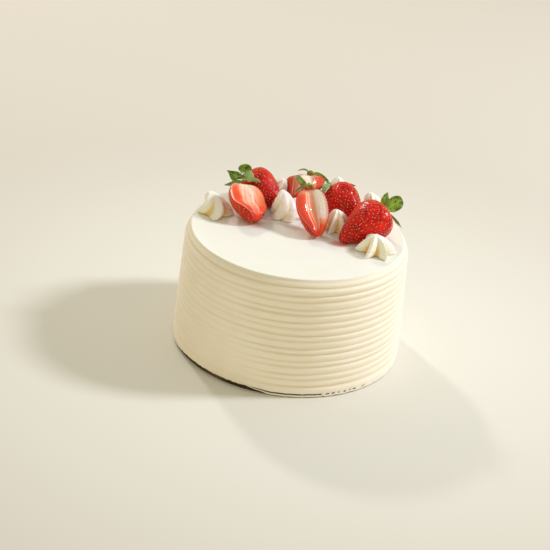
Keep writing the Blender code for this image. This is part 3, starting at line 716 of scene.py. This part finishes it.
def add_cake():
    """The cream from the skirt over the side to the top, and the dark sponge under it.

    The sponge is a low drum whose side bulges by a half sine and by waves of crumb."""
    rng = np.random.default_rng(11)
    ceiling = SPONGE_HEIGHT + GAP
    foot = foot_rows(rng, SPONGE_RADIUS + 3 * SPONGE_ROUGHNESS + GAP, ceiling)
    side, sway = comb_rows()
    rows = np.concatenate([foot, side, shoulder_rows(rng, sway), top_rows()])
    cream = ringed_form(turned(rows[..., 0], rows[..., 1]), (0.0, 0.0, ceiling), (0.0, 0.0, LEVEL_TOP),
                        dict(valley=rows[..., 2]))
    add_piece("combed_cream", [cream], ["cream"], ["iced_cake"])

    shares = np.linspace(0.0, 1.0, SPONGE_ROWS)[:, None]
    crumbs = sum(rough_line(rng, 9, 20, 140) * np.sin(math.pi * (shares * k + 0.3 * k))
                 for k in (1, 2, 3)) / 3.0
    bulge = 0.0001 + SPONGE_ROUGHNESS * (0.9 * np.sin(math.pi * shares) ** 0.5 + 0.8 * crumbs)
    reach = SPONGE_RADIUS + np.clip(bulge, -0.0004, 2.2 * SPONGE_ROUGHNESS)
    sponge = ringed_form(turned(reach, SPONGE_HEIGHT * shares + 0.0 * ANGLES), (0.0, 0.0, 0.0),
                         (0.0, 0.0, SPONGE_HEIGHT))
    add_piece("sponge_edge", [sponge], ["sponge"], ["sponge_foot"])


def berry_axes(shape):
    """Across and facing directions of a berry, and the way from its tip to its crown."""
    body = shape["crown"] - shape["tip"]
    lengthwise = unit(body)
    towards = np.asarray(shape.get("facing", WHOLE_FACING))
    towards = unit(towards - towards.dot(lengthwise) * lengthwise)
    return np.cross(towards, lengthwise), towards, body


def berry_outline(turn, taper):
    """Share of the greatest radius, and of the length from the crown, at a turn of 0 to pi.

    The outline is a circle drawn out into a blunt cone, with a shallow dip at the crown."""
    def swell(at):
        return np.sin(at) ** BERRY_FULLNESS * (1.0 + taper * np.cos(at))

    widest = np.max(swell(np.linspace(0.0, math.pi, 200)))
    along = 0.5 * (1.0 - np.cos(turn)) + CROWN_DIP * np.exp(-((turn / 0.42) ** 2))
    return swell(turn) / widest, along


def turn_grid(rows, steps):
    """Turns from crown to tip and angles once round, on a grid without the two poles."""
    turn = np.linspace(0.0, math.pi, rows + 2)[1:-1, None] + np.zeros((1, steps))
    return turn, once_round(steps)[None, :] + 0.0 * turn


def wrap_angle(shape, along):
    """How far round onto the cut face the skin reaches: nothing at the crown, all at the tip."""
    return math.radians(shape["wrap"]) * smooth_step(along, *WRAP_ALONG)


def skin_points(shape, turn, angle):
    """Points of a berry's skin at turns from crown to tip and angles round it.

    A whole berry's rings are slightly lumpy circles. A halved berry's go from one edge of the
    cut (angle 0) round the back to the other (angle pi), as deep as its depth says. Towards the
    tip they also wrap round onto the cut side."""
    across, towards, body = berry_axes(shape)
    reach, along = berry_outline(turn, shape["taper"])
    if "facing" in shape:
        wrapped = wrap_angle(shape, along)
        angle = angle * (1.0 + 2.0 * wrapped / math.pi) - wrapped
        radii, depth = shape["radius"] * reach, -shape["depth"]
    else:
        lumpy = 1.0 + 0.03 * np.cos(2 * angle + 0.6) + 0.015 * np.cos(3 * angle)
        radii, depth = shape["radius"] * reach * lumpy, 1.0
    centre = shape["crown"] - along[..., None] * body
    return (centre + (radii * np.cos(angle))[..., None] * across
            + (depth * radii * np.sin(angle))[..., None] * towards)


def skin_normals(shape, turn, angle):
    """Outward directions of the skin, from small steps of both parameters."""
    down, round_it = (skin_points(shape, turn + on, angle + aside)
                      - skin_points(shape, turn - on, angle - aside)
                      for on, aside in ((NUDGE, 0.0), (0.0, NUDGE)))
    away = unit(np.cross(down, round_it))
    return -away if "facing" in shape else away


def seed_places(shape, rng):
    """Turns and angles of the seeds: even over the skin, each a golden angle from the last."""
    half = "facing" in shape
    sweep = np.linspace(0.16, math.pi - 0.10, 240)
    reach, along = berry_outline(sweep, shape["taper"])
    radii = reach * shape["radius"]
    length = np.linalg.norm(shape["crown"] - shape["tip"])
    slant = np.hypot(np.gradient(radii), np.gradient(along * length))
    area = np.cumsum(2.0 * math.pi * radii * slant) * (0.5 if half else 1.0)
    count = int(area[-1] / SEED_SPACING**2 / 0.87)
    shares = (np.arange(count) + 0.5) / count
    turn = np.interp(shares * area[-1], area, sweep) + rng.normal(0.0, 0.022, count)
    angle = np.arange(count) * math.pi * (3.0 - math.sqrt(5.0)) + rng.normal(0.0, 0.06, count)
    angle = angle % (2.0 * math.pi)
    if half:
        margin = CUT_MARGIN * (1.0 - 0.75 * smooth_step(turn, 1.5, 2.1))
        angle = margin + angle / (2.0 * math.pi) * (math.pi - 2.0 * margin)
    return turn, angle


def dimpled(shape, turn, angle, seeds):
    """The skin with a dimple under every seed: depth times exp of minus the squared distance
    share. Gives the points and how deep in a dimple each lies."""
    points = skin_points(shape, turn, angle)
    flat = points.reshape(-1, 3)
    apart = (flat**2).sum(axis=1)[:, None] + (seeds**2).sum(axis=1)[None, :] - 2.0 * flat @ seeds.T
    dimple = np.exp(-np.maximum(apart.min(axis=1), 0.0) / DIMPLE_RADIUS**2).reshape(points.shape[:2])
    return points - DIMPLE_DEPTH * dimple[..., None] * skin_normals(shape, turn, angle), dimple


def seed_forms(shape, turn, angle):
    """Seeds as small flat drops lying along the berry, each sunk into its dimple.

    A drop is a sphere of a few rings, drawn out to its length, width and height."""
    where = skin_points(shape, turn, angle)
    normal = skin_normals(shape, turn, angle)
    heading = unit(skin_points(shape, turn + NUDGE, angle) - where)
    rise = math.pi * np.array(SEED_RINGS)[:, None]
    spin = once_round(SEED_SIDES)[None, :]
    middle = where - 0.75 * DIMPLE_DEPTH * normal
    rings = middle[:, None, None, :]
    for size, part, direction in ((SEED_LENGTH, np.cos(rise) + 0.0 * spin, heading),
                                  (SEED_HEIGHT, np.sin(rise) * np.sin(spin), normal),
                                  (SEED_WIDTH, np.sin(rise) * np.cos(spin), np.cross(normal, heading))):
        rings = rings + 0.5 * size * part[..., None] * direction[:, None, None, :]
    end = 0.5 * SEED_LENGTH * heading
    return [ringed_form(*drop) for drop in zip(rings, middle + end, middle - end)]


def seated_berry(shape, rings, values, face_step=None):
    """Close a berry's rings at crown and tip, with nothing lower than the seat on the cake."""
    rings[..., 2] = np.maximum(rings[..., 2], SEAT)
    crown = shape["crown"] - CROWN_DIP * (shape["crown"] - shape["tip"])
    return ringed_form(rings, crown, (*shape["tip"][:2], max(shape["tip"][2], SEAT)), values, face_step)


def whole_berry_form(shape, seeds):
    """A whole berry's skin on a grid of turn and angle, dimpled under its seeds."""
    turn, angle = turn_grid(BERRY_ROWS, BERRY_STEPS)
    rings, dimple = dimpled(shape, turn, angle, seeds)
    along = berry_outline(turn, shape["taper"])[1]
    return seated_berry(shape, rings, dict(along=along, dimple=dimple, across=0.0 * along))


def half_berry_form(shape, seeds):
    """A halved berry: skin round the back, then the cut face, folded in along its middle.

    Across the face, share goes from -1 to 1. The face sinks by the fold's slope towards the
    middle, dips at the hollow core and carries faint ribs that slant out from the core. It
    narrows and rises towards the tip, where the skin wraps round onto it."""
    across, towards, body = berry_axes(shape)
    turn = np.linspace(0.0, math.pi, HALF_ROWS + 2)[1:-1, None]
    reach, along = berry_outline(turn, shape["taper"])
    arc = np.linspace(0.0, math.pi, HALF_SKIN_STEPS)[None, :]
    skin, dimple = dimpled(shape, turn + 0.0 * arc, arc + 0.0 * turn, seeds)
    share = np.linspace(-1.0, 1.0, HALF_FACE_STEPS + 1)[None, 1:-1]
    side = np.abs(share)
    core = np.exp(-((share / 0.3) ** 2)) * np.sin(turn) ** 2
    ribs = np.sin((along + FIBRE_SLANT * side) * FIBRE_WAVES) * side * (1.0 - side**4)
    wrapped = wrap_angle(shape, along)
    cut_width = shape["radius"] * reach * np.cos(wrapped)
    raised = shape["radius"] * reach * shape["depth"] * np.sin(wrapped)
    sink = (math.tan(math.radians(shape["fold"])) * cut_width * (1.0 - side) + shape["hollow"] * core
            + 0.00007 * ribs + 0.00035 * side**8 - raised)
    centre = shape["crown"] - along[..., None] * body
    face = centre + (cut_width * share)[..., None] * across - sink[..., None] * towards
    around = np.concatenate([np.cos(arc) + 0.0 * turn, share + 0.0 * turn], axis=1)
    dimple = np.concatenate([dimple, 0.0 * share + 0.0 * turn], axis=1)
    values = dict(along=along + 0.0 * around, across=around, blush=shape["blush"], dimple=dimple)
    return seated_berry(shape, np.concatenate([skin, face], axis=1), values, HALF_SKIN_STEPS - 1)


def add_berries():
    """Every strawberry with its dimples, and all their seeds as one piece."""
    rng = np.random.default_rng(5)
    drops = []
    for name, shape in BERRIES.items():
        turn, angle = seed_places(shape, rng)
        seeds = skin_points(shape, turn, angle)
        clear = seeds[:, 2] > TOP + SEEDLESS
        drops += seed_forms(shape, turn[clear], angle[clear])
        halved = name in HALVED_BERRIES
        form = half_berry_form(shape, seeds) if halved else whole_berry_form(shape, seeds)
        add_piece(name.replace("berry", "strawberry"), [form], ["skin", "flesh"] if halved else ["skin"],
                  [name])
    add_piece("strawberry_seeds", drops, ["seed"], [])


def rosette_form(middle, radius, height, turn, folds=6, depth=0.36, sharp=0.5, lean=(0.0, 0.0)):
    """A star-piped rosette, with how deep in a fold each point lies.

    The outline swells just above the seat, then draws in to a fine peak. The section is a star
    whose ridges are round or sharp, the ridges turn as they rise, and the peak leans."""
    rise = np.linspace(0.0, 1.0, ROSETTE_ROWS + 1)[:-1, None]
    angle = once_round(folds * ROSETTE_STEPS_PER_FOLD)[None, :]
    swell = (1.0 - rise) ** 0.66 * (0.90 + 0.45 * rise) * (1.0 - 0.10 * np.exp(-rise / 0.03))
    phase = 0.5 * folds * (angle - turn * rise)
    valley = (1.0 - sharp) * (1.0 - np.abs(np.cos(phase))) + sharp * np.abs(np.sin(phase))
    uneven = 1.0 + 0.012 * np.sin(5 * angle + 23 * rise) + 0.008 * np.sin(3 * angle - 41 * rise)
    reach = radius * swell * (1.0 - depth * valley * (1.0 - 0.3 * rise)) * uneven
    rings = np.stack([middle[0] + lean[0] * rise**2 + reach * np.cos(angle),
                      middle[1] + lean[1] * rise**2 + reach * np.sin(angle),
                      SEAT + (height - GAP) * rise**1.15 + 0.0 * angle], axis=2)
    peak = (middle[0] + lean[0], middle[1] + lean[1], TOP + height)
    # How deep in a fold each point lies, less towards the peak; the finish paints shade from it.
    deep = valley * (1.0 - 0.5 * rise) * (0.92 + 0.3 * sharp)
    return ringed_form(rings, (*middle, SEAT), peak, dict(valley=deep))


def press(cream, shape):
    """Leave in the cream the dent that a berry makes, a little wider than the berry.

    A halved berry's dent goes round its skin and straight back across its cut."""
    turn, angle = turn_grid(DENT_ROWS, DENT_STEPS)
    rings = skin_points(shape, turn, angle)
    if "facing" in shape:
        back = (np.maximum(angle - math.pi, 0.0) / math.pi)[..., None]
        edge = skin_points(shape, turn, 0.0 * angle)
        rings = (1.0 - back) * skin_points(shape, turn, np.minimum(angle, math.pi)) + back * edge
    centre = rings.reshape(-1, 3).mean(axis=0)
    form = ringed_form(rings, shape["crown"], shape["tip"])
    points = centre + (form["points"] - centre) * (1.0 + PRESS_GAP / shape["radius"])
    points[:, 2] = np.where(points[:, 2] < SEAT + 2 * GAP, SEAT - 3 * GAP, points[:, 2])
    mesh = bpy.data.meshes.new("dent")
    mesh.from_pydata(points, [], form["quads"].tolist() + form["triangles"].tolist())
    cutter = add_object("dent", mesh)
    dent = cream.modifiers.new("dent", "BOOLEAN")
    dent.operation = "DIFFERENCE"
    dent.solver = "EXACT"
    dent.object = cutter
    bpy.context.view_layer.update()
    evaluated = cream.evaluated_get(bpy.context.evaluated_depsgraph_get())
    cream.data = bpy.data.meshes.new_from_object(evaluated)
    cream.modifiers.remove(dent)
    bpy.data.objects.remove(cutter, do_unlink=True)


def add_rosettes():
    """Every rosette, seated on the top and dented by the berries that lie against it."""
    for name, (pressed_by, *size, ridges) in ROSETTES.items():
        form = rosette_form(*size, **ridges)
        piece = add_piece("piped_" + name, [form], ["rosette"], [name])
        for berry_name in pressed_by:
            press(piece, BERRIES[berry_name])


def leaf_form(root, outward, axis, shape):
    """One leaf as a closed thin solid, rings running over its upper face and back below.

    The midrib is a smooth arch from root to tip. The width swells, then narrows to the tip.
    Both sides rise from the midrib, and the edges ripple."""
    reach = np.linalg.norm(shape["tip"] - root)
    bend = shape["over"]
    if bend is None:
        bend = root + 0.45 * reach * unit(outward + 0.25 * axis)
    face = axis if shape["face"] is None else unit(shape["face"])
    travel = np.linspace(0.0, 1.0, LEAF_ROWS + 1)[:-1, None]
    middle = (1 - travel) ** 2 * root + 2 * travel * (1 - travel) * bend + travel**2 * shape["tip"]
    heading = unit((1 - travel) * (bend - root) + travel * (shape["tip"] - bend))
    sideways = unit(np.cross(heading, face))
    upward = np.cross(sideways, heading)
    half_width = 0.5 * shape["width"] * np.sin(math.pi * (0.12 + 0.88 * travel)) ** shape["point"]
    half_width = half_width * (0.6 + 0.4 * np.clip(travel / 0.15, 0.0, 1.0))
    there = np.linspace(-1.0, 1.0, 2 * LEAF_HALF_STEPS + 1)
    across = np.concatenate([there, there[-2:0:-1]])[None, :]
    upper = np.concatenate([np.ones(len(there)), -np.ones(len(there) - 2)])[None, :]
    thin = 0.5 * LEAF_THICKNESS * np.sqrt(np.clip(1.0 - across**4, 0.0, 1.0)) * (1.0 - 0.6 * travel)
    ripple = 0.03 * shape["width"] * np.sin(11.0 * travel + 1.5 * across) * across**2
    groove = 0.00010 * np.exp(-((across / 0.10) ** 2))
    lift = LEAF_FOLD * half_width * np.abs(across) ** 1.3 + ripple + upper * thin - groove
    rings = (middle[:, None, :] + (half_width * across)[..., None] * sideways[:, None, :]
             + lift[..., None] * upward[:, None, :])
    values = dict(across=across, along=travel, underside=0.5 - 0.5 * upper)
    return ringed_form(rings, root, shape["tip"], values)


def hub_form(centre, axis, side, upright):
    """The hub and stub of stem: a low dome that narrows to a short stalk with a cut end."""
    dome = np.array([(0.35, -0.5), (1.0, -0.35), (1.02, 0.1), (0.80, 0.55), (0.52, 0.9)])
    stalk = np.array([(1.1, 0.7), (1.0, 0.6), (1.05, 1.0)])
    radii, levels = np.concatenate([dome * (HUB_RADIUS, 1.6 * LEAF_THICKNESS),
                                    stalk * (STEM_RADIUS, STEM_LENGTH)]).T[..., None, None]
    spin = once_round(HUB_STEPS)[:, None]
    rings = centre + radii * (np.cos(spin) * side + np.sin(spin) * upright) + levels * axis
    return ringed_form(rings, centre + levels[0, 0] * axis, centre + (STEM_LENGTH + 0.0001) * axis,
                       dict(across=0.5, along=0.0, underside=0.2))


def add_calyxes():
    """The green tops: each a hub with a stub of stem and its ring of leaves."""
    for name, (berry_name, leaves) in CALYXES.items():
        bearer = BERRIES[berry_name]
        axis = unit(bearer["crown"] - bearer["tip"])
        centre = bearer["crown"] + (2 * GAP + 0.5 * LEAF_THICKNESS) * axis
        side = unit(np.cross(axis, (0.0, 0.0, 1.0)))
        upright = np.cross(axis, side)
        forms = [hub_form(centre, axis, side, upright)]
        for shape in leaves:
            aim = (shape["tip"] if shape["over"] is None else shape["over"]) - centre
            outward = unit(aim - aim.dot(axis) * axis)
            forms.append(leaf_form(centre + 0.7 * HUB_RADIUS * outward, outward, axis, shape))
        add_piece("green_" + name, forms, ["leaf"], [name])


def aim(holder, up, back, away):
    """Turn a lamp or camera to look against back, at a distance vector from the cake's middle."""
    right = unit(np.cross(up, back))
    facing = Matrix(np.column_stack([right, np.cross(back, right), back]).tolist()).to_4x4()
    facing.translation = CAKE_MIDDLE + away
    holder.matrix_world = facing


def add_light(name, direction, distance, size, power, colour):
    """A round area light at a distance from the cake, looking at its middle."""
    lamp = bpy.data.lights.new(name, "AREA")
    lamp.shape = "DISK"
    lamp.size = size
    lamp.energy = power
    lamp.color = colour
    look = unit(direction)
    aim(add_object(name, lamp), (0.0, 0.0, 1.0), look, look * distance)


def add_camera():
    """The photograph's view: the cake seen from in front and above, leaning to the right.

    The camera is aimed a little left of and above the cake's middle, where the frame's centre is."""
    tilt = np.array([0.0, -math.cos(CAMERA_ELEVATION), math.sin(CAMERA_ELEVATION)])
    level = np.array([1.0, 0.0, 0.0])
    raised = np.cross(tilt, level)
    right = math.cos(CAMERA_ROLL) * level + math.sin(CAMERA_ROLL) * raised
    up = -math.sin(CAMERA_ROLL) * level + math.cos(CAMERA_ROLL) * raised
    aside, below = (pixel - 0.5 * FRAME_PIXELS for pixel in MIDDLE_PIXEL)
    lens = bpy.data.cameras.new("camera")
    lens.lens = FOCAL_PIXELS * lens.sensor_width / FRAME_PIXELS
    holder = add_object("camera", lens)
    back = unit(tilt + aside / FOCAL_PIXELS * right - below / FOCAL_PIXELS * up)
    aim(holder, up, back, CAMERA_DISTANCE * tilt)
    bpy.context.scene.camera = holder


def add_room():
    """A plain pale floor, a broad light from the right, a small one from behind on the left that
    makes the berries glisten, and soft light all round."""
    mesh = bpy.data.meshes.new("floor")
    corners = [(x * FLOOR_REACH, y * FLOOR_REACH, 0.0) for x, y in ((-1, -1), (1, -1), (1, 1), (-1, 1))]
    mesh.from_pydata(corners, [], [(0, 1, 2, 3)])
    mesh.materials.append(floor_finish())
    floor = add_object("floor", mesh)
    add_light("key", **KEY_LIGHT)
    add_light("glint", **GLINT_LIGHT)
    world = bpy.data.worlds.new("soft_light")
    world.use_nodes = True
    tree = world.node_tree
    where = tree.nodes.new("ShaderNodeTexCoord")
    height = tree.nodes.new("ShaderNodeSeparateXYZ")
    blend = tree.nodes.new("ShaderNodeMix")
    blend.data_type = "RGBA"
    blend.inputs[6].default_value = (*LOW_LIGHT, 1.0)
    blend.inputs[7].default_value = (*HIGH_LIGHT, 1.0)
    tree.links.new(where.outputs["Generated"], height.inputs["Vector"])
    tree.links.new(height.outputs["Z"], blend.inputs[0])
    tree.links.new(blend.outputs[2], tree.nodes["Background"].inputs["Color"])
    bpy.context.scene.world = world
    bpy.context.scene.view_settings.view_transform = "Standard"


FINISHES = dict(cream=cream_finish(), rosette=rosette_finish(), sponge=sponge_finish(),
                skin=skin_finish(), flesh=flesh_finish(), leaf=leaf_finish(), seed=seed_finish())

add_camera()
add_room()
add_cake()
add_berries()
add_rosettes()
add_calyxes()
